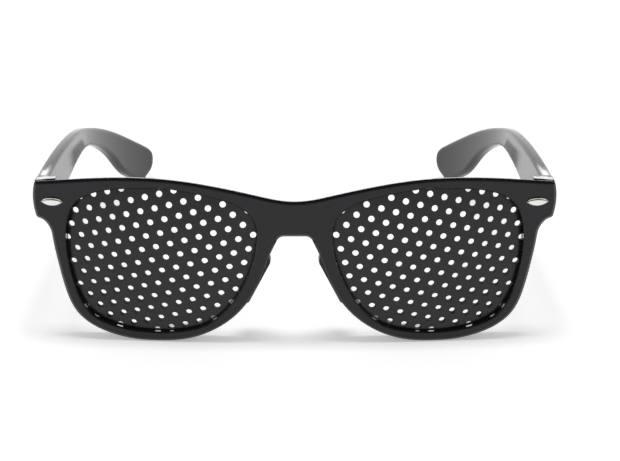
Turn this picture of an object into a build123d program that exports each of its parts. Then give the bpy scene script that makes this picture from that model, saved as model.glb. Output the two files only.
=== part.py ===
from build123d import *
import os
from math import asin, cos, degrees, pi, radians, sin, sqrt, tan

# Pinhole glasses: a square-browed front with two domed, perforated plates and two folding temples.
# Millimetres. Z is up, the front faces -Y and the temples run towards +Y.
# The glasses stand on the rims and on the temple tips at Z = 0, and X = 0 is their mirror plane.
# They are modelled with the front of the bridge at Y = 0, and moved to the middle of their length at the end.
# Left and right are the wearer's: the left side is at +X, and the right side mirrors it.

# Front moulding
front_width = 146.0
front_height = 49.2
front_bow_radius = 600.0
rim_depth = 5.0
end_piece_depth = 4.6
end_piece_width = 6.6
end_piece_corner_radius = 1.0
nose_gap_corner_radius = 2.2
front_edge_bevel = 0.8
back_edge_bevel = 0.8
top_edge_flat = 0.5
top_edge_fall = 22.5
opening_edge_bevel = 0.4

# Perforated plates and the grooves that hold them
plate_radius = 160.0
plate_thickness = 1.2
plate_setback = 0.3
plate_lean = 1.5
plate_edge_hold = 1.0
groove_clearance = 0.05
hole_diameter = 1.8
hole_pitch = 4.13
hole_row_turn = 12.9
hole_row_start_x = 1.4
hole_row_start_z = 4.46
hole_sides = 6

# Nose pads, moulded behind the inner rims
pad_length = 18.0
pad_thickness = 3.0
pad_edge_bevel = 1.0
pad_depth = 11.0
pad_reach = 10.2
pad_splay = 12.0

# Temples
temple_reach = 135.6
temple_thickness = 3.4
temple_top_height = 47.4
temple_inset = 0.7
temple_bend_start = 65.0
temple_bend_radius = 165.0
temple_edge_bevel = 0.7
temple_gap = 0.12

# Barrel hinges
hinge_height = 6.0
hinge_centre_height = 41.0
barrel_diameter = 2.8
barrel_gap = 0.15
axis_setback = 0.55
knuckle_gap = 0.08
leaf_thickness = 0.9
leaf_sink = 0.5
leaf_clearance = 0.02
front_leaf_length = 4.0
temple_leaf_length = 9.0
anchor_width = 1.3
anchor_depth = 1.0
anchor_spacing = 3.2
screw_diameter = 1.3
screw_clearance = 0.04
screw_head_diameter = 2.3
screw_head_height = 0.6
screw_slot_width = 0.35
screw_slot_depth = 0.3
screw_head_room = 0.15

# Pointed oval studs in the end pieces
stud_length = 6.3
stud_height = 2.5
stud_proud = 0.5
stud_sink = 0.7
stud_bevel = 0.3
stud_groove_width = 0.4
stud_groove_depth = 0.4
stud_from_middle = 67.4
stud_above_ground = 41.8
stud_peg_diameter = 1.6
stud_peg_length = 1.4
stud_clearance = 0.04

# One overrun that carries every cut through what it cuts
overrun = 1.0

# Outlines as shares of half the front's width and of its height, from the mirror plane outwards
top_edge_shares = ((0, 0.870), (0.135, 0.901), (0.285, 0.950), (0.43, 0.985), (0.585, 1.0), (0.80, 0.987),
                   (0.988, 0.961))
end_edge_shares = ((0.988, 0.961), (0.998, 0.850), (0.988, 0.748))
under_end_shares = ((0.988, 0.748), (0.966, 0.735), (0.941, 0.690), (0.931, 0.622))
outer_rim_shares = ((0.931, 0.622), (0.917, 0.484), (0.894, 0.314), (0.853, 0.166), (0.768, 0.065), (0.655, 0.012),
                    (0.540, 0.0))
inner_rim_shares = ((0.540, 0.0), (0.415, 0.018), (0.300, 0.089), (0.215, 0.193), (0.148, 0.346), (0.104, 0.519),
                    (0.060, 0.662))
opening_shares = (
    (0.540, 0.943), (0.690, 0.930), (0.775, 0.900), (0.824, 0.858), (0.857, 0.789), (0.877, 0.672), (0.879, 0.553),
    (0.864, 0.390), (0.840, 0.267), (0.795, 0.163), (0.730, 0.107), (0.645, 0.073), (0.545, 0.061), (0.430, 0.075),
    (0.345, 0.114), (0.265, 0.212), (0.203, 0.351), (0.160, 0.509), (0.145, 0.647), (0.160, 0.766), (0.205, 0.835),
    (0.300, 0.889), (0.430, 0.929),
)
# Side view of a temple as shares of its reach and of the height of its top edge
temple_top_shares = ((0, 1.0), (0.16, 0.982), (0.33, 0.931), (0.50, 0.843), (0.66, 0.714), (0.80, 0.557),
                     (0.90, 0.408), (0.970, 0.290))
temple_tip_shares = ((0.970, 0.290), (0.996, 0.225), (1.0, 0.139), (0.985, 0.072), (0.955, 0.029), (0.925, 0.036))
temple_bottom_shares = ((0.925, 0.036), (0.86, 0.168), (0.78, 0.370), (0.69, 0.537), (0.59, 0.645), (0.47, 0.695),
                        (0.31, 0.715), (0.15, 0.722), (0, 0.735))
# Where the middle of a nose pad lies on the rim, as shares of the front's width and height
pad_middle_shares = (0.160, 0.380)


def bow_depth(x):
    """How far the front face lies behind the middle of the bridge, at x from the mirror plane."""
    return front_bow_radius - sqrt(front_bow_radius**2 - x**2)


def front_points(shares):
    return [(x * half_width, z * front_height) for x, z in shares]


def upright(sketch):
    """Stands a flat sketch up in the XZ plane, with its own Y along Z."""
    return Plane.XZ * sketch


def box_between(low, high):
    """A box between two opposite corners."""
    size = Vector(*high) - Vector(*low)
    middle = (Vector(*high) + Vector(*low)) / 2
    return Pos(middle) * Box(size.X, size.Y, size.Z)


# Places that several pieces share
half_width = front_width / 2
barrel_radius = barrel_diameter / 2
joint_y = bow_depth(half_width) + end_piece_depth
temple_outer_x = half_width - temple_inset
temple_inner_x = temple_outer_x - temple_thickness
axis_x = temple_inner_x - barrel_gap - barrel_radius
axis_y = joint_y + axis_setback
hinge_bottom = hinge_centre_height - hinge_height / 2
hinge_top = hinge_bottom + hinge_height
knuckle_height = (hinge_height - 2 * knuckle_gap) / 3
opening_points = front_points(opening_shares)
opening_centre_x = (min(x for x, z in opening_points) + max(x for x, z in opening_points)) / 2
opening_centre_z = (min(z for x, z in opening_points) + max(z for x, z in opening_points)) / 2
opening_half_width = max(x for x, z in opening_points) - opening_centre_x
opening_half_height = max(z for x, z in opening_points) - opening_centre_z

# The middle knuckle turns with the temple, and the two outer ones stay on the front
outer_knuckles = (
    (hinge_bottom, hinge_bottom + knuckle_height),
    (hinge_top - knuckle_height, hinge_top),
)
middle_knuckle = (hinge_bottom + knuckle_height + knuckle_gap, hinge_top - knuckle_height - knuckle_gap)

# The front leaf lies in a flat pocket behind the end piece, and the temple leaf in one inside the temple
front_leaf_end_x = axis_x - front_leaf_length
front_leaf_start_x = axis_x - barrel_radius - barrel_gap
front_leaf_floor_y = bow_depth(front_leaf_end_x) + rim_depth - leaf_sink
temple_leaf_floor_x = temple_inner_x + leaf_sink
temple_leaf_start_y = axis_y + barrel_radius + barrel_gap
temple_leaf_end_y = axis_y + temple_leaf_length

# The stud lies square on the bowed face
stud_turn = degrees(asin(stud_from_middle / front_bow_radius))
stud_plane = Plane(
    origin=(stud_from_middle, bow_depth(stud_from_middle), stud_above_ground),
    x_dir=(cos(radians(stud_turn)), sin(radians(stud_turn)), 0),
    z_dir=(sin(radians(stud_turn)), -cos(radians(stud_turn)), 0),
)

# The plate's sphere touches the apex of its dome, just behind the bowed front face
plate_wrap = asin(opening_centre_x / front_bow_radius)
plate_outward = Vector(
    sin(plate_wrap),
    -cos(plate_wrap) * cos(radians(plate_lean)),
    sin(radians(plate_lean)),
).normalized()
plate_apex = Vector(opening_centre_x, bow_depth(opening_centre_x) + plate_setback, opening_centre_z)
plate_plane = Plane(origin=plate_apex, x_dir=(1, 0, 0), z_dir=plate_outward)
plate_sphere_centre = plate_apex - plate_outward * plate_radius


def opening_outline(grow):
    """The lens opening of the left rim, made larger all round by grow."""
    wide = 1 + grow / opening_half_width
    high = 1 + grow / opening_half_height
    points = [
        (opening_centre_x + (x - opening_centre_x) * wide, opening_centre_z + (z - opening_centre_z) * high)
        for x, z in opening_points
    ]
    return make_face(Spline(points, periodic=True))


def opening_block(grow):
    """The opening's outline, run right through the front from before it to behind it."""
    face = Pos(0, -overrun, 0) * upright(opening_outline(grow))
    return extrude(face, amount=joint_y + 2 * overrun, dir=(0, 1, 0))


def plate_shell(grow, clearance):
    """A piece of the plate's spherical shell, trimmed by the opening's outline made larger by grow."""
    outer = Pos(plate_sphere_centre) * Sphere(plate_radius + clearance)
    inner = Pos(plate_sphere_centre) * Sphere(plate_radius - plate_thickness - clearance)
    return opening_block(grow) & outer - inner


def hole_places():
    """Points on the plate's sphere where the staggered rows of pinholes lie inside the opening."""
    inside = opening_outline(0)
    row_step = Vector(hole_pitch, 0, 0).rotate(Axis.Z, -hole_row_turn)
    next_row_step = row_step.rotate(Axis.Z, 120)
    start = Vector(hole_row_start_x, hole_row_start_z, 0)
    furthest = sqrt(opening_half_width**2 + opening_half_height**2)
    count = int(2 * furthest / hole_pitch)
    places = []
    for i in range(-count, count + 1):
        for j in range(-count, count + 1):
            flat = start + row_step * i + next_row_step * j
            if flat.length > furthest:
                continue
            sag = plate_radius - sqrt(plate_radius**2 - flat.length**2)
            point = plate_plane.from_local_coords(flat - Vector(0, 0, sag))
            if inside.is_inside(Vector(point.X, point.Z, 0)):
                places.append(point)
    return places


def pinhole_plate():
    """A domed plate whose pinholes all point at the middle of its sphere."""
    # The many-sided hole has the area of the round one
    part_turn = 2 * pi / hole_sides
    corner_radius = hole_diameter / 2 * sqrt(part_turn / sin(part_turn))
    hole = extrude(RegularPolygon(corner_radius, hole_sides), amount=plate_thickness + overrun, both=True)
    cutters = []
    for point in hole_places():
        way = (point - plate_sphere_centre).normalized()
        cutters.append(Plane(origin=point, x_dir=(1, 0, 0), z_dir=way) * hole)
    return plate_shell(plate_edge_hold, 0) - cutters


def front_block():
    """The front's outline as a straight block."""
    top = Spline(front_points(top_edge_shares), tangents=((1, 0), (1, -0.08)))
    end = ThreePointArc(*front_points(end_edge_shares))
    under_end = Spline(front_points(under_end_shares), tangents=((-1, -0.35), (-0.1, -1)))
    outer_rim = Spline(front_points(outer_rim_shares), tangents=((-0.1, -1), (-1, 0)))
    inner_rim = Spline(front_points(inner_rim_shares), tangents=((-1, 0), (-0.45, 1)))
    flank_top = front_points(inner_rim_shares)[-1]
    half = [top, end, under_end, outer_rim, inner_rim, Line(flank_top, (0, flank_top[1]))]
    face = make_face(half + [mirror(edge, about=Plane.YZ) for edge in half])
    return extrude(Pos(0, -overrun, 0) * upright(face), amount=joint_y + 3 * overrun, dir=(0, 1, 0))


def bow_cylinder(depth):
    """Everything behind the bowed face that lies depth behind the front one."""
    return Pos(0, front_bow_radius, 0) * Cylinder(front_bow_radius - depth, 3 * front_height)


def edges_on_bow(shape, depth):
    """The edges that lie on the bowed face depth behind the front one."""
    radius = front_bow_radius - depth
    near = overrun / 10
    found = []
    for edge in shape.edges():
        points = [edge @ t for t in (0.1, 0.5, 0.9)]
        if all(abs(Vector(p.X, p.Y - front_bow_radius, 0).length - radius) < near for p in points):
            found.append(edge)
    return found


def bevelled_slab():
    """The bowed front without its openings, with all its outer edges bevelled."""
    slab = front_block() & (bow_cylinder(0) - bow_cylinder(rim_depth))
    corners = [e for e in slab.edges().filter_by(Axis.Y) if abs(e.center().X) > temple_inner_x]
    slab = fillet(corners, end_piece_corner_radius)
    corners = [e for e in slab.edges().filter_by(Axis.Y) if overrun < abs(e.center().X) < opening_centre_x]
    slab = fillet(corners, nose_gap_corner_radius)
    slab = chamfer(edges_on_bow(slab, 0), front_edge_bevel)
    return chamfer(edges_on_bow(slab, rim_depth), back_edge_bevel)


def top_fall():
    """All that lies above the top edge where it falls away behind its narrow flat."""
    fall = tan(radians(top_edge_fall))
    flat_end = front_edge_bevel + top_edge_flat
    crest = [(x, z + (bow_depth(x) + flat_end) * fall) for x, z in front_points(top_edge_shares)]
    curve = Spline(crest, tangents=((1, 0), (1, 0)))
    end_x, end_z = (curve @ 1).X, (curve @ 1).Y
    outline = Polyline((end_x, end_z), (half_width + overrun, end_z), (half_width + overrun, 2 * front_height),
                       (0, 2 * front_height), crest[0])
    half = extrude(upright(make_face([curve, outline])), amount=2 * joint_y, dir=(0, 1, -fall))
    return half + mirror(half, about=Plane.YZ)


def end_block():
    """The deeper part of the left end piece, which the temple's butt closes against."""
    start_x = half_width - end_piece_width
    corner = (start_x, bow_depth(start_x) + rim_depth / 2, 0)
    return front_block() & box_between(corner, (half_width + overrun, joint_y, 2 * front_height))


def screwdriver_room():
    """The open channel behind the left end piece, down which the screw goes in and is turned."""
    return on_hinge_axis(screw_head_diameter / 2 + screw_head_room, hinge_top, front_height + overrun)


def temple_room():
    """The room behind the left end piece, where the temple's butt stands."""
    return box_between((half_width - end_piece_width, joint_y, 0), (half_width + overrun, 2 * joint_y, 2 * front_height))


def nose_pad():
    """A rounded pad behind the left rim's nasal flank, leaning with the flank and splayed to the back."""
    low, high = front_points(inner_rim_shares)[3], front_points(inner_rim_shares)[5]
    flank_lean = degrees(asin((low[0] - high[0]) / Vector(low[0] - high[0], high[1] - low[1]).length))
    middle_x, middle_z = front_points([pad_middle_shares])[0]
    pad = extrude(Plane.YZ * Ellipse(pad_depth / 2, pad_length / 2), amount=pad_thickness / 2, both=True)
    pad = chamfer(pad.edges().filter_by(GeomType.ELLIPSE), pad_edge_bevel)
    middle = Pos(middle_x, pad_reach - pad_depth / 2, middle_z)
    return middle * Rot(0, -flank_lean, 0) * Rot(0, 0, -pad_splay) * pad & bow_cylinder(rim_depth / 2)


def pointed_oval(length, height):
    """A flat oval between two arcs that meet in points."""
    upper = ThreePointArc((-length / 2, 0), (0, height / 2), (length / 2, 0))
    return make_face([upper, mirror(upper, about=Plane.XZ)])


def stud_body(clearance):
    """The sunk part of the left stud and its peg, made larger all round by clearance for the pocket."""
    oval = pointed_oval(stud_length + 2 * clearance, stud_height + 2 * clearance)
    peg = Cylinder(stud_peg_diameter / 2 + clearance, stud_peg_length, align=(Align.CENTER, Align.CENTER, Align.MAX))
    return stud_plane * (extrude(oval, amount=-stud_sink) + Pos(0, 0, -stud_sink) * peg)


def front_stud():
    """The left end piece's stud, with a bevelled rim and a curved groove above its middle."""
    proud = extrude(pointed_oval(stud_length, stud_height), amount=stud_proud)
    proud = chamfer(proud.faces().sort_by(Axis.Z)[-1].edges(), stud_bevel)
    ends = stud_length / 2
    rise = stud_height / 4
    lower = ThreePointArc((-ends, 0), (0, rise), (ends, 0))
    upper = ThreePointArc((-ends, stud_groove_width), (0, rise + stud_groove_width), (ends, stud_groove_width))
    outline = make_face([lower, upper, Line(lower @ 0, upper @ 0), Line(lower @ 1, upper @ 1)])
    proud -= Pos(0, 0, stud_proud - stud_groove_depth) * extrude(outline, amount=overrun)
    return stud_body(0) + stud_plane * proud


def anchor_pegs(middle, row, way, clearance):
    """The two square pegs that anchor a hinge leaf, spaced along row and pointing along way."""
    width = anchor_width + 2 * clearance
    peg = Box(width, width, anchor_depth + clearance, align=(Align.CENTER, Align.CENTER, Align.MIN))
    return [Plane(middle + row * side * anchor_spacing / 2, x_dir=row, z_dir=way) * peg for side in (-1, 1)]


def front_leaf_pegs(clearance):
    middle = Vector((front_leaf_end_x + front_leaf_start_x) / 2, front_leaf_floor_y, hinge_centre_height)
    return anchor_pegs(middle, Vector(0, 0, 1), Vector(0, -1, 0), clearance)


def temple_leaf_pegs(clearance):
    middle = Vector(temple_leaf_floor_x, (temple_leaf_start_y + temple_leaf_end_y) / 2, hinge_centre_height)
    return anchor_pegs(middle, Vector(0, 1, 0), Vector(1, 0, 0), clearance)


def on_hinge_axis(radius, low, high):
    """A cylinder about the left hinge's axis, between two heights."""
    return Pos(axis_x, axis_y, (low + high) / 2) * Cylinder(radius, high - low)


def screw_bore():
    return on_hinge_axis(screw_diameter / 2 + screw_clearance, hinge_bottom - overrun, hinge_top + overrun)


def front_hinge_leaf():
    """The metal leaf behind the left end piece, with the upper and lower knuckles of the barrel."""
    leaf_corner = (front_leaf_start_x, front_leaf_floor_y + leaf_thickness, hinge_top)
    leaf = box_between((front_leaf_end_x, front_leaf_floor_y, hinge_bottom), leaf_corner)
    for low, high in outer_knuckles:
        leaf += box_between((front_leaf_start_x, front_leaf_floor_y, low), (axis_x, axis_y, high))
        leaf += on_hinge_axis(barrel_radius, low, high)
    for peg in front_leaf_pegs(0):
        leaf += peg
    return leaf - screw_bore()


def temple_hinge_leaf():
    """The metal leaf inside the left temple, with the middle knuckle of the barrel."""
    leaf_corner = (temple_leaf_floor_x - leaf_thickness, temple_leaf_start_y, hinge_bottom)
    leaf = box_between(leaf_corner, (temple_leaf_floor_x, temple_leaf_end_y, hinge_top))
    low, high = middle_knuckle
    leaf += box_between((axis_x, axis_y, low), (temple_leaf_floor_x, temple_leaf_start_y, high))
    leaf += on_hinge_axis(barrel_radius, low, high)
    for peg in temple_leaf_pegs(0):
        leaf += peg
    return leaf - screw_bore()


def hinge_screw():
    """The slotted screw that holds the left barrel together and is its pin."""
    head_top = hinge_top + screw_head_height
    screw = on_hinge_axis(screw_diameter / 2, hinge_bottom, hinge_top)
    screw += on_hinge_axis(screw_head_diameter / 2, hinge_top, head_top)
    slot_start = (axis_x - barrel_radius, axis_y - screw_slot_width / 2, head_top - screw_slot_depth)
    slot_end = (axis_x + barrel_radius, axis_y + screw_slot_width / 2, head_top + overrun)
    return screw - box_between(slot_start, slot_end)


def front_leaf_pocket():
    low = (front_leaf_end_x - leaf_clearance, front_leaf_floor_y, hinge_bottom - leaf_clearance)
    return box_between(low, (temple_inner_x, joint_y + overrun, hinge_top + leaf_clearance))


def temple_leaf_pocket():
    low = (temple_inner_x - overrun, axis_y - leaf_clearance, hinge_bottom - leaf_clearance)
    high = (temple_leaf_floor_x, temple_leaf_end_y + leaf_clearance, hinge_top + leaf_clearance)
    return box_between(low, high)


def opening_front_edges(frame):
    """The front edges of both openings, which are the only closed edges on the front face."""
    return [e for e in edges_on_bow(frame, 0) if e.is_closed]


def front_frame():
    """The front moulding: two grooved rims, the bridge, the end pieces and the nose pads in one piece."""
    left_opening = opening_block(0)
    frame = bevelled_slab() - top_fall() - left_opening - mirror(left_opening, about=Plane.YZ)
    frame = chamfer(opening_front_edges(frame), opening_edge_bevel)
    added = [end_block(), nose_pad() - left_opening]
    cut = [plate_shell(plate_edge_hold + groove_clearance, groove_clearance), stud_body(stud_clearance)]
    cut += [temple_room(), screwdriver_room(), front_leaf_pocket(), *front_leaf_pegs(leaf_clearance)]
    for piece in added:
        frame += piece
        frame += mirror(piece, about=Plane.YZ)
    for piece in cut:
        frame -= piece
        frame -= mirror(piece, about=Plane.YZ)
    return frame


def temple_side_view():
    """The left temple's outline from the side, in a face that faces +X."""
    start_y = joint_y + temple_gap
    top_points, tip_points, bottom_points = [
        [(start_y + y * temple_reach, z * temple_top_height) for y, z in shares]
        for shares in (temple_top_shares, temple_tip_shares, temple_bottom_shares)
    ]
    down_the_tip, up_the_tip = (0.85, -0.53), (-0.66, 0.75)
    top = Spline(top_points, tangents=((1, 0), down_the_tip))
    tip = Spline(tip_points, tangents=(down_the_tip, up_the_tip))
    bottom = Spline(bottom_points, tangents=(up_the_tip, (-1, -0.08)))
    return Plane.YZ * make_face([top, tip, bottom, Line(bottom @ 1, top @ 0)])


def temple_plan_view():
    """The left temple from above: straight behind the hinge, then bent inwards to hold the head."""
    start_y = joint_y + temple_gap
    bend_y = axis_y + temple_bend_start
    bend_centre = (temple_inner_x - temple_bend_radius, bend_y)
    sweep = degrees(asin((start_y + temple_reach + overrun - bend_y) / temple_bend_radius))
    outer = CenterArc(bend_centre, temple_bend_radius + temple_thickness, 0, sweep)
    inner = CenterArc(bend_centre, temple_bend_radius, 0, sweep)
    return make_face([
        Line((temple_outer_x, start_y), outer @ 0), outer, Line(outer @ 1, inner @ 1), inner,
        Line(inner @ 0, (temple_inner_x, start_y)), Line((temple_inner_x, start_y), (temple_outer_x, start_y)),
    ])


def temple():
    """The left temple, with bevelled long edges, a square butt and the pocket of its hinge leaf."""
    arm = extrude(temple_side_view(), amount=temple_outer_x + overrun)
    arm &= extrude(Pos(0, 0, -overrun) * temple_plan_view(), amount=temple_top_height + 2 * overrun)
    arm = chamfer(arm.edges().filter_by(GeomType.BSPLINE), temple_edge_bevel)
    return arm - temple_leaf_pocket() - temple_leaf_pegs(leaf_clearance)


pieces = {"front_frame": front_frame()}
left_pieces = {
    "pinhole_plate": pinhole_plate(),
    "front_stud": front_stud(),
    "front_hinge_leaf": front_hinge_leaf(),
    "temple_hinge_leaf": temple_hinge_leaf(),
    "hinge_screw": hinge_screw(),
    "temple": temple(),
}
for name, piece in left_pieces.items():
    pieces["left_" + name] = piece
    pieces["right_" + name] = mirror(piece, about=Plane.YZ)

# The origin ends up under the middle of the whole length
foremost = min(piece.bounding_box().min.Y for piece in pieces.values())
rearmost = max(piece.bounding_box().max.Y for piece in pieces.values())
to_middle = Pos(0, -(foremost + rearmost) / 2, 0)
os.makedirs("parts", exist_ok=True)
for name, piece in pieces.items():
    export_step(to_middle * piece, "parts/" + name + ".step")
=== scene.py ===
import math

import bmesh
import bpy
import numpy as np
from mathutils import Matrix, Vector
from mathutils.geometry import convex_hull_2d, delaunay_2d_cdt


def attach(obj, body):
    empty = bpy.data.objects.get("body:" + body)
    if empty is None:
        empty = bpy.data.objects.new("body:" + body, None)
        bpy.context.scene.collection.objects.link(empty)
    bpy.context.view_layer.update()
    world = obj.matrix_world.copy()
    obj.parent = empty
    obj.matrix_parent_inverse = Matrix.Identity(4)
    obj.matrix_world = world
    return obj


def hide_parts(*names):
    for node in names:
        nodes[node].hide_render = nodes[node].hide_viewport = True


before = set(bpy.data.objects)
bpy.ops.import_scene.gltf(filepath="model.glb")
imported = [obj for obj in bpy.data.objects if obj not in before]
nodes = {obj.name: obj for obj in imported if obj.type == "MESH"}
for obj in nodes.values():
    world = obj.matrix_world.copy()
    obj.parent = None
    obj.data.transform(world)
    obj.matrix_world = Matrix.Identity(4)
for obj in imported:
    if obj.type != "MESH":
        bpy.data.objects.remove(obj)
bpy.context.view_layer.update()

MM = 0.001
# The front of the bridge lies this far before the origin, in mm
SHIFT_Y = -72.4585


def put(name, data):
    """An object of this data, in the scene."""
    thing = bpy.data.objects.new(name, data)
    bpy.context.scene.collection.objects.link(thing)
    return thing


# Camera, lamps, room and floor

PICTURE_WIDTH, PICTURE_HEIGHT = 620, 461
# Where the camera's axis meets the photograph, and its focal length, in pixels
AXIS_X, AXIS_Y = 294.65, 262.72
FOCAL_LENGTH = 1431.0
SENSOR_MM = 36.0
# The camera looks at the front at this height, from this far and this high above the horizon
AIM_HEIGHT_MM = 25
CAMERA_AWAY_MM = 400.0
CAMERA_TILT = math.radians(22.5)

FLOOR_WHITE = (0.93, 0.93, 0.93, 1)
FLOOR_ROUGHNESS = 0.9
# Directions between which the room's walls brighten to the back, and end in the dark ceiling
BACK_FROM, BACK_FULL = 0.1, 0.85
CEILING_FROM, CEILING_FULL = 0.42, 0.72


def make_camera():
    """The photograph's view."""
    data = bpy.data.cameras.new("camera")
    data.sensor_width = SENSOR_MM
    data.lens = SENSOR_MM * FOCAL_LENGTH / PICTURE_WIDTH
    data.shift_x = (PICTURE_WIDTH / 2 - AXIS_X) / PICTURE_WIDTH
    data.shift_y = (AXIS_Y - PICTURE_HEIGHT / 2) / PICTURE_WIDTH
    data.clip_start, data.clip_end = 0.01, 20.0
    camera = put("camera", data)
    back = SHIFT_Y - CAMERA_AWAY_MM * math.cos(CAMERA_TILT)
    height = AIM_HEIGHT_MM + CAMERA_AWAY_MM * math.sin(CAMERA_TILT)
    camera.location = (0, back * MM, height * MM)
    camera.rotation_euler = (math.pi / 2 - CAMERA_TILT, 0, 0)
    bpy.context.scene.camera = camera


def make_lamp(name, place, target, size, watts, mirrored):
    """A soft box that either lights the scene or is only mirrored in glossy surfaces."""
    data = bpy.data.lights.new(name, "AREA")
    data.shape = "RECTANGLE"
    data.size, data.size_y = size
    data.energy = watts
    lamp = put(name, data)
    lamp.location = place
    lamp.rotation_euler = (Vector(target) - Vector(place)).to_track_quat("-Z", "Y").to_euler()
    lamp.visible_glossy, lamp.visible_diffuse = mirrored, not mirrored


def maths(tree, operation, first, second, clamp=False):
    """One Math node; its inputs are sockets or numbers."""
    node = tree.nodes.new("ShaderNodeMath")
    node.operation = operation
    node.use_clamp = clamp
    for socket, value in zip(node.inputs, (first, second)):
        if isinstance(value, (int, float)):
            socket.default_value = value
        else:
            tree.links.new(value, socket)
    return node.outputs[0]


def spread(tree, value, from_low, from_high, to_low, to_high):
    """A value's range mapped smoothly to another."""
    node = tree.nodes.new("ShaderNodeMapRange")
    node.interpolation_type = "SMOOTHSTEP"
    tree.links.new(value, node.inputs["Value"])
    ends = {"From Min": from_low, "From Max": from_high, "To Min": to_low, "To Max": to_high}
    for socket, number in ends.items():
        node.inputs[socket].default_value = number
    return node.outputs["Result"]


def seen_and_mirrored(tree):
    """1 for the camera's rays; and 1 for these and those in reflections and through glass."""
    ways = tree.nodes.new("ShaderNodeLightPath").outputs
    seen = maths(tree, "MAXIMUM", ways["Is Camera Ray"], ways["Is Glossy Ray"])
    return ways["Is Camera Ray"], maths(tree, "MAXIMUM", seen, ways["Is Transmission Ray"])


def make_world(light_strength, low_glow, back_glow, top_glow):
    """White to the camera; in reflections pale walls, brighter behind, under a dark ceiling."""
    world = bpy.data.worlds.new("world")
    bpy.context.scene.world = world
    world.use_nodes = True
    tree = world.node_tree
    tree.nodes.clear()
    out = tree.nodes.new("ShaderNodeOutputWorld")
    seen, mirrored = seen_and_mirrored(tree)
    place = tree.nodes.new("ShaderNodeTexCoord")
    axes = tree.nodes.new("ShaderNodeSeparateXYZ")
    tree.links.new(place.outputs["Generated"], axes.inputs[0])
    back = spread(tree, axes.outputs["Y"], BACK_FROM, BACK_FULL, low_glow, back_glow)
    height = spread(tree, axes.outputs["Z"], CEILING_FROM, CEILING_FULL, 1.0, 0.0)
    room = maths(tree, "ADD", maths(tree, "MULTIPLY", back, height), top_glow)
    light = maths(tree, "MULTIPLY", maths(tree, "SUBTRACT", 1.0, mirrored), light_strength)
    glossy = maths(tree, "MULTIPLY", maths(tree, "SUBTRACT", mirrored, seen), room)
    total = maths(tree, "ADD", maths(tree, "ADD", light, seen), glossy)
    glow = tree.nodes.new("ShaderNodeBackground")
    glow.inputs["Color"].default_value = (1, 1, 1, 1)
    tree.links.new(total, glow.inputs["Strength"])
    tree.links.new(glow.outputs[0], out.inputs["Surface"])


def new_material(name):
    """A material with its node tree and its shader."""
    material = bpy.data.materials.new(name)
    material.use_nodes = True
    return material, material.node_tree, material.node_tree.nodes["Principled BSDF"]


def make_floor(half_size, added_glow):
    """A white sheet that keeps the object's shadow."""
    s = half_size
    mesh = bpy.data.meshes.new("floor")
    mesh.from_pydata([(-s, -s, 0), (s, -s, 0), (s, s, 0), (-s, s, 0)], [], [(0, 1, 2, 3)])
    floor = put("floor", mesh)
    material, tree, shader = new_material("floor")
    shader.inputs["Base Color"].default_value = FLOOR_WHITE
    shader.inputs["Roughness"].default_value = FLOOR_ROUGHNESS
    shader.inputs["Specular IOR Level"].default_value = 0.0
    shader.inputs["Emission Color"].default_value = (1, 1, 1, 1)
    glow = maths(tree, "MULTIPLY", seen_and_mirrored(tree)[1], added_glow)
    tree.links.new(glow, shader.inputs["Emission Strength"])
    mesh.materials.append(material)


# Materials

# The colour mixing node's sockets for colours
MIX_FACTOR, MIX_FIRST, MIX_SECOND, MIX_RESULT = 0, 6, 7, 2

# Noise scales and details: cloudy patches, the finest grain's detail, sparse rubs, brushed streaks
CLOUD_SCALE, CLOUD_DETAIL = 60, 4
FINE_DETAIL = 6
RUB_SCALE, RUB_DETAIL = 420, 8
STREAK_SCALE, STREAK_DETAIL = 900, 5

# Levels of that noise between which a rub sets in, and how much paler and duller it is
RUB_FROM, RUB_FULL = 0.62, 0.74
RUB_PALER, RUB_DULLER = 0.6, 0.08
FINE_FROM, FINE_FULL = 0.3, 0.7
PLASTIC_DARK, PLASTIC_LIGHT = 0.8, 1.3
PLASTIC_RELIEF_M = 0.0002

METAL_DARK, METAL_LIGHT = 0.88, 1.08
METAL_BUMP, METAL_RELIEF_M = 0.06, 0.00005
# Painted shade in hollows: openness where it starts to lift and where it is gone, its colour, and
# how much metal colour stays
HOLLOW_SHUT, HOLLOW_OPEN = 0.3, 0.65
PAINTED_HOLLOW_SHADE = (0.03, 0.03, 0.03, 1)
DARKEST_UNSHADED_SHARE = 0.03
BEVEL_SAMPLES, HOLLOW_SAMPLES = 4, 8


def rounded_edges(tree, shader, radius, height, strength, distance):
    """Softened edges under a fine relief."""
    soft = tree.nodes.new("ShaderNodeBevel")
    soft.samples = BEVEL_SAMPLES
    soft.inputs["Radius"].default_value = radius
    relief = tree.nodes.new("ShaderNodeBump")
    relief.inputs["Strength"].default_value = strength
    relief.inputs["Distance"].default_value = distance
    tree.links.new(soft.outputs[0], relief.inputs["Normal"])
    tree.links.new(height, relief.inputs["Height"])
    tree.links.new(relief.outputs["Normal"], shader.inputs["Normal"])


def noise(tree, vector, scale, detail):
    """Noise between 0 and 1 over the object's own places."""
    node = tree.nodes.new("ShaderNodeTexNoise")
    node.inputs["Scale"].default_value = scale
    node.inputs["Detail"].default_value = detail
    tree.links.new(vector, node.inputs["Vector"])
    return node.outputs["Fac"]


def shade_of(tint, share):
    """A tint made darker or lighter."""
    return tuple(min(1, channel * share) for channel in tint) + (1,)


def mixed(tree, factor, first, second):
    """A colour between two, each given as a colour or a socket."""
    node = tree.nodes.new("ShaderNodeMix")
    node.data_type = "RGBA"
    tree.links.new(factor, node.inputs[MIX_FACTOR])
    for place, colour in ((MIX_FIRST, first), (MIX_SECOND, second)):
        if isinstance(colour, tuple):
            node.inputs[place].default_value = colour
        else:
            tree.links.new(colour, node.inputs[place])
    return node.outputs[MIX_RESULT]


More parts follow.
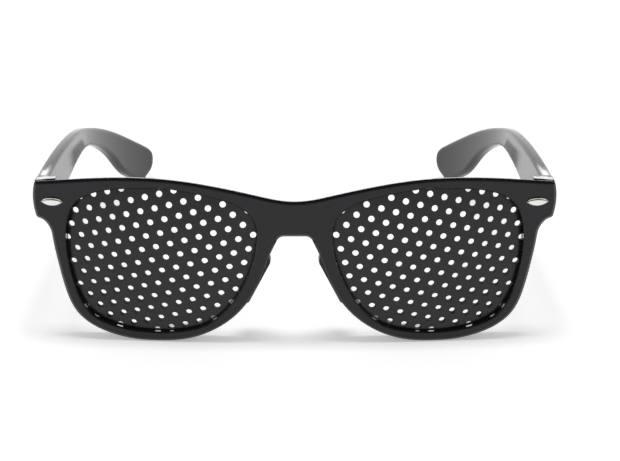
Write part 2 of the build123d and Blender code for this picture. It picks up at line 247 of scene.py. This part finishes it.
def black_plastic(name, tint, rough, fine_scale, bump, ior, edge_radius):
    """Moulded black plastic: uneven gloss, a faint relief, sparse fine rubs and soft edges."""
    material, tree, shader = new_material(name)
    shader.inputs["IOR"].default_value = ior
    place = tree.nodes.new("ShaderNodeTexCoord").outputs["Object"]
    cloud = noise(tree, place, CLOUD_SCALE, CLOUD_DETAIL)
    fine = noise(tree, place, fine_scale, FINE_DETAIL)
    rubs = spread(tree, noise(tree, place, RUB_SCALE, RUB_DETAIL), RUB_FROM, RUB_FULL, 0.0, 1.0)
    pale = maths(tree, "ADD", cloud, maths(tree, "MULTIPLY", rubs, RUB_PALER), clamp=True)
    colour = mixed(tree, pale, shade_of(tint, PLASTIC_DARK), shade_of(tint, PLASTIC_LIGHT))
    tree.links.new(colour, shader.inputs["Base Color"])
    gloss = spread(tree, fine, FINE_FROM, FINE_FULL, rough[0], rough[1])
    gloss = maths(tree, "ADD", gloss, maths(tree, "MULTIPLY", rubs, RUB_DULLER))
    tree.links.new(gloss, shader.inputs["Roughness"])
    rounded_edges(tree, shader, edge_radius, cloud, bump, PLASTIC_RELIEF_M)
    return material


def metal(name, tint, rough, grain, edge_radius, hollow_reach):
    """Metal with a fine brushed grain, small patches of duller polish and painted shade in its
    hollows.
    """
    material, tree, shader = new_material(name)
    shader.inputs["Metallic"].default_value = 1.0
    place = tree.nodes.new("ShaderNodeTexCoord")
    stretch = tree.nodes.new("ShaderNodeMapping")
    stretch.inputs["Scale"].default_value = grain
    tree.links.new(place.outputs["Object"], stretch.inputs["Vector"])
    streaks = noise(tree, stretch.outputs["Vector"], STREAK_SCALE, STREAK_DETAIL)
    # Painted shade: the colour is darkened towards near-black where nearby surfaces close a spot
    # in, as in grooves and between hinge parts
    hollow = tree.nodes.new("ShaderNodeAmbientOcclusion")
    hollow.samples = HOLLOW_SAMPLES
    hollow.inputs["Distance"].default_value = hollow_reach
    unshaded_share = spread(tree, hollow.outputs["AO"], HOLLOW_SHUT, HOLLOW_OPEN, DARKEST_UNSHADED_SHARE, 1.0)
    polish = mixed(tree, streaks, shade_of(tint, METAL_DARK), shade_of(tint, METAL_LIGHT))
    tree.links.new(mixed(tree, unshaded_share, PAINTED_HOLLOW_SHADE, polish), shader.inputs["Base Color"])
    tree.links.new(spread(tree, streaks, 0.0, 1.0, rough[0], rough[1]), shader.inputs["Roughness"])
    rounded_edges(tree, shader, edge_radius, streaks, METAL_BUMP, METAL_RELIEF_M)
    return material


# The pinhole plates; all sizes in mm

PLATE = dict(
    centre_x=37.376, centre_z=24.7,
    bow=600.0, dome=160.0, lean=math.radians(1.5),
    behind=0.3, thick=1.2,
)
HOLE = dict(
    radius=0.9, lip=0.09, sides=24,
    pitch=4.13, turn=math.radians(12.9), start=(1.4, 4.46), most_rows=14,
)
# How the pattern stretches over the dome, by 1, u, v and the products of u and v over the reach
STRETCH_U = (0.1821, -0.0032, -0.0144, -0.0147, -0.0055, -0.0195)
STRETCH_V = (-0.2105, -0.0125, 0.0106, 0.0226, -0.0094, 0.025)
STRETCH_REACH = 30
# How far a hole's back end is shifted in the photograph, in pixels: a constant, then for each mm
# inwards and upwards from one place
DRIFT_ACROSS = (-0.065, 0.010, -0.0139)
DRIFT_UP = (-0.282, -0.020, -0.029)
DRIFT_FROM_X, DRIFT_FROM_Z = 35, 25
# The photograph's pixels for a mm across and up
PIXELS_ACROSS, PIXELS_UP = 3.58, 3.31
# The solid plate's edge lies in the rim's groove, this far beyond the opening
PLATE_EDGE_BEYOND = 1.0
# The new plate goes this much further into the groove
PLATE_EDGE_GROWN = 0.4
PLATE_EDGE_POINTS = 180
# Holes are kept whose centres lie up to this far beyond the opening
HOLE_REACH_BEYOND = 0.35
MESHING_SLACK = 1e-6
FRONT, BACK, RIM, LIP, WALL = range(5)


def plate_points(u, v, depth):
    """Places on the left plate's dome, some depth below its front, from places in its plane."""
    swing = math.asin(PLATE["centre_x"] / PLATE["bow"])
    lean = PLATE["lean"]
    out = np.array([math.sin(swing), -math.cos(swing) * math.cos(lean), math.sin(lean)])
    out /= np.linalg.norm(out)
    side = np.array([1.0, 0, 0]) - out[0] * out
    side /= np.linalg.norm(side)
    up = np.cross(out, side)
    bow = PLATE["bow"] * (1 - math.cos(swing))
    apex = np.array([PLATE["centre_x"], bow + PLATE["behind"] + SHIFT_Y, PLATE["centre_z"]])
    ball = apex - PLATE["dome"] * out
    sag = np.sqrt(PLATE["dome"] ** 2 - u ** 2 - v ** 2)
    front = ball + u[:, None] * side + v[:, None] * up + sag[:, None] * out
    away = (front - ball) / PLATE["dome"]
    return front - depth * away


def inside(edge, u, v):
    """Whether a place lies inside a convex outline that runs counter-clockwise."""
    along = np.roll(edge, -1, axis=0) - edge
    return bool(np.all(along[:, 0] * (v - edge[:, 1]) - along[:, 1] * (u - edge[:, 0]) > 0))


def hole_places(edge):
    """The staggered rows of pinholes that fall inside an outline."""
    places = []
    pitch, turn = HOLE["pitch"], HOLE["turn"]
    next_turn = turn + math.pi / 3
    rows = range(-HOLE["most_rows"], HOLE["most_rows"] + 1)
    for i in rows:
        for j in rows:
            u = HOLE["start"][0] - pitch * (i * math.cos(turn) + j * math.cos(next_turn))
            v = HOLE["start"][1] + pitch * (i * math.sin(turn) + j * math.sin(next_turn))
            products = (u * u / STRETCH_REACH, u * v / STRETCH_REACH, v * v / STRETCH_REACH)
            terms = (1, u, v) + products
            u += sum(a * b for a, b in zip(STRETCH_U, terms))
            v += sum(a * b for a, b in zip(STRETCH_V, terms))
            if inside(edge, u, v):
                places.append((u, v))
    return places


def back_end(u, v):
    """Where the back end of a hole lies whose front end is here."""
    inwards = DRIFT_FROM_X - (PLATE["centre_x"] + u)
    up = PLATE["centre_z"] + v - DRIFT_FROM_Z
    across_px, up_px = (a + b * inwards + c * up for a, b, c in (DRIFT_ACROSS, DRIFT_UP))
    return u - across_px / PIXELS_ACROSS, v + up_px / PIXELS_UP


def plate_edge(node):
    """The solid plate's outline in its own plane, counter-clockwise and evenly divided."""
    spots = [(v.co.x / MM, v.co.z / MM) for v in node.data.vertices]
    spots = [(abs(x) - PLATE["centre_x"], z - PLATE["centre_z"]) for x, z in spots]
    hull = np.array([spots[i] for i in convex_hull_2d([Vector(p) for p in spots])])
    area = np.sum(hull[:, 0] * np.roll(hull[:, 1], -1) - np.roll(hull[:, 0], -1) * hull[:, 1])
    hull = hull if area > 0 else hull[::-1]
    closed = np.vstack([hull, hull[:1]])
    gaps = np.linalg.norm(np.diff(closed, axis=0), axis=1)
    lengths = np.concatenate([[0], np.cumsum(gaps)])
    steps = np.linspace(0, lengths[-1], PLATE_EDGE_POINTS + 1)[:-1]
    return np.column_stack([np.interp(steps, lengths, closed[:, axis]) for axis in (0, 1)])


def grown(edge, by):
    """An outline moved outwards by a distance."""
    along = np.roll(edge, -1, axis=0) - np.roll(edge, 1, axis=0)
    along /= np.linalg.norm(along, axis=1)[:, None]
    return edge + by * np.column_stack([along[:, 1], -along[:, 0]])


def sheet_faces(edge, rings):
    """Triangles between an outline and the holes in it."""
    spots = [Vector(p) for p in edge] + [Vector(p) for ring in rings for p in ring]
    count, sides = len(edge), HOLE["sides"]
    lines = [(i, (i + 1) % count) for i in range(count)]
    for k in range(len(rings)):
        start = count + k * sides
        lines += [(start + i, start + (i + 1) % sides) for i in range(sides)]
    _, _, faces, sources, _, _ = delaunay_2d_cdt(spots, lines, [], 0, MESHING_SLACK)
    kept = []
    for face in faces:
        face = [sources[i][0] for i in face]
        a, b, c = (spots[i] for i in sorted(face))
        owners = {(i - count) // sides if i >= count else -1 for i in face}
        filled_hole = len(owners) == 1 and -1 not in owners
        outside = owners == {-1} and (b - a).cross(c - a) <= 0
        if not filled_hole and not outside:
            kept.append(face)
    return kept


def make_plate(name, side, body, materials):
    """One domed plate with round pinholes, whose walls lean as the mould drew them."""
    solid_edge = plate_edge(nodes[name])
    edge = grown(solid_edge, PLATE_EDGE_GROWN)
    reach = grown(solid_edge, HOLE_REACH_BEYOND - PLATE_EDGE_BEYOND)
    fronts = [np.array(place) for place in hole_places(reach)]
    backs = [np.array(back_end(u, v)) for u, v in fronts]
    count, n = len(edge), HOLE["sides"]
    turns = np.arange(n) * 2 * math.pi / n
    circle = np.column_stack([np.cos(turns), np.sin(turns)])
    bore = HOLE["radius"] * circle
    lip_share = HOLE["lip"] / PLATE["thick"]
    front_rings = [place + (HOLE["radius"] + HOLE["lip"]) * circle for place in fronts]
    lip_rings = [start + lip_share * (end - start) + bore for start, end in zip(fronts, backs)]
    back_rings = [place + bore for place in backs]

    bm = bmesh.new()

    def layer(outlines, depth):
        spots = np.vstack(outlines)
        points = plate_points(spots[:, 0], spots[:, 1], depth)
        return [bm.verts.new((side * x * MM, y * MM, z * MM)) for x, y, z in points]

    front = layer([edge] + front_rings, 0)
    lip = layer(lip_rings, HOLE["lip"])
    back = layer([edge] + back_rings, PLATE["thick"])
    kinds = bm.faces.layers.int.new("kind")

    def face(corners, kind):
        made = bm.faces.new(corners)
        made.smooth = True
        made[kinds] = kind
        # The hole walls take the second material, a black darkened as painted shade
        made.material_index = 1 if kind == WALL else 0

    for corners in sheet_faces(edge, front_rings):
        face([front[i] for i in corners], FRONT)
    for corners in sheet_faces(edge, back_rings):
        face([back[i] for i in reversed(corners)], BACK)
    for i in range(count):
        j = (i + 1) % count
        face([front[j], front[i], back[i], back[j]], RIM)
    for k in range(len(fronts)):
        for i in range(n):
            a, b = k * n + i, k * n + (i + 1) % n
            face([front[count + a], front[count + b], lip[b], lip[a]], LIP)
            face([lip[a], lip[b], back[count + b], back[count + a]], WALL)
    if side < 0:
        bmesh.ops.reverse_faces(bm, faces=bm.faces)
    for line in bm.edges:
        line.smooth = line.link_faces[0][kinds] == line.link_faces[1][kinds]
    mesh = bpy.data.meshes.new(name.replace("pinhole_plate", "perforated_plate"))
    bm.to_mesh(mesh)
    bm.free()
    for material in materials:
        mesh.materials.append(material)
    plate = put(mesh.name, mesh)
    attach(plate, body)
    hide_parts(name)


# The temples' tips, in mm: flats round the lower side of a circle, from the first turn to the last

TIP = dict(
    start_y=54.7, centre_y=64.6, centre_z=9.3, radius=7.5,
    first=math.radians(-32), last=math.radians(24), cuts=12,
)
SHARP_FROM = math.radians(20)
WELD_M = 1e-7
START_SLACK_M = 1e-6


def make_temple(name, body, material):
    """A temple with the lower corner of its tip trimmed round, in small flats."""
    bm = bmesh.new()
    bm.from_mesh(nodes[name].data)
    bmesh.ops.remove_doubles(bm, verts=bm.verts, dist=WELD_M)
    start = Vector((0, TIP["start_y"], 0)) * MM
    centre = Vector((0, TIP["centre_y"], TIP["centre_z"]))
    everything = bm.verts[:] + bm.edges[:] + bm.faces[:]
    bmesh.ops.bisect_plane(bm, geom=everything, dist=WELD_M, plane_co=start, plane_no=(0, 1, 0))
    for k in range(TIP["cuts"]):
        turn = TIP["first"] + (TIP["last"] - TIP["first"]) * k / (TIP["cuts"] - 1)
        way = Vector((0, math.sin(turn), -math.cos(turn)))
        spot = (centre + TIP["radius"] * way) * MM
        faces = [face for face in bm.faces
                 if min(vert.co.y for vert in face.verts) > start.y - START_SLACK_M]
        verts = dict.fromkeys(vert for face in faces for vert in face.verts)
        lines = dict.fromkeys(line for face in faces for line in face.edges)
        cut = bmesh.ops.bisect_plane(bm, geom=[*verts, *lines, *faces], dist=WELD_M,
                                     plane_co=spot, plane_no=way, clear_outer=True)
        rim = [part for part in cut["geom_cut"]
               if isinstance(part, bmesh.types.BMEdge) and part.is_boundary]
        if rim:
            bmesh.ops.edgeloop_fill(bm, edges=rim)
    bmesh.ops.recalc_face_normals(bm, faces=bm.faces)
    bm.normal_update()
    for face in bm.faces:
        face.smooth = True
    for line in bm.edges:
        line.smooth = line.calc_face_angle(0) < SHARP_FROM
    mesh = bpy.data.meshes.new(name + "_trimmed")
    bm.to_mesh(mesh)
    bm.free()
    mesh.materials.append(material)
    temple = put(mesh.name, mesh)
    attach(temple, body)
    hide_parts(name)


make_camera()
make_world(light_strength=0.31, low_glow=0.6, back_glow=1.0, top_glow=0.02)
make_floor(half_size=0.9, added_glow=0.36)
make_lamp("over_lamp", place=(0.0, -0.05, 3.2), target=(0, -0.05, 0), size=(1.5, 0.8),
          watts=48.0, mirrored=False)
make_lamp("back_lamp", place=(0.0, 1.1, 0.56), target=(0, 0, 0.02), size=(1.6, 0.34),
          watts=8.0, mirrored=True)

frame_black = black_plastic("frame_black", tint=(0.0085, 0.0088, 0.012), rough=(0.06, 0.13),
                            fine_scale=900, bump=0.04, ior=1.40, edge_radius=0.0006)
plate_black = black_plastic("plate_black", tint=(0.0095, 0.0095, 0.0105), rough=(0.20, 0.32),
                            fine_scale=1100, bump=0.04, ior=1.44, edge_radius=0.0001)
temple_black = black_plastic("temple_black", tint=(0.010, 0.0095, 0.0095), rough=(0.05, 0.10),
                             fine_scale=800, bump=0.03, ior=1.45, edge_radius=0.0015)
# Painted shade: the pinhole walls, which are the plate's own plastic, get a darker and duller
# black than its face
hole_black = black_plastic("hole_black", tint=(0.004, 0.004, 0.0045), rough=(0.55, 0.7),
                           fine_scale=1100, bump=0.04, ior=1.3, edge_radius=0.00005)
stud_metal = metal("stud_metal", tint=(0.78, 0.76, 0.73), rough=(0.08, 0.18),
                   grain=(0.15, 1, 1), edge_radius=0.0002, hollow_reach=0.0008)
hinge_metal = metal("hinge_metal", tint=(0.62, 0.62, 0.63), rough=(0.22, 0.36),
                    grain=(1, 1, 0.12), edge_radius=0.0001, hollow_reach=0.0005)
screw_metal = metal("screw_metal", tint=(0.68, 0.68, 0.69), rough=(0.16, 0.3),
                    grain=(1, 1, 0.2), edge_radius=0.0001, hollow_reach=0.0005)

looks = {
    "front_frame": frame_black,
    "pinhole_plate": plate_black,
    "temple": temple_black,
    "front_stud": stud_metal,
    "front_hinge_leaf": hinge_metal,
    "temple_hinge_leaf": hinge_metal,
    "hinge_screw": screw_metal,
}
for name, node in nodes.items():
    plain = name.replace("left_", "").replace("right_", "")
    for slot in node.material_slots:
        slot.material = looks[plain]

make_plate("left_pinhole_plate", 1, "front", (plate_black, hole_black))
make_plate("right_pinhole_plate", -1, "front", (plate_black, hole_black))
make_temple("left_temple", "left_side", temple_black)
make_temple("right_temple", "right_side", temple_black)

bpy.context.scene.view_settings.view_transform = "Standard"
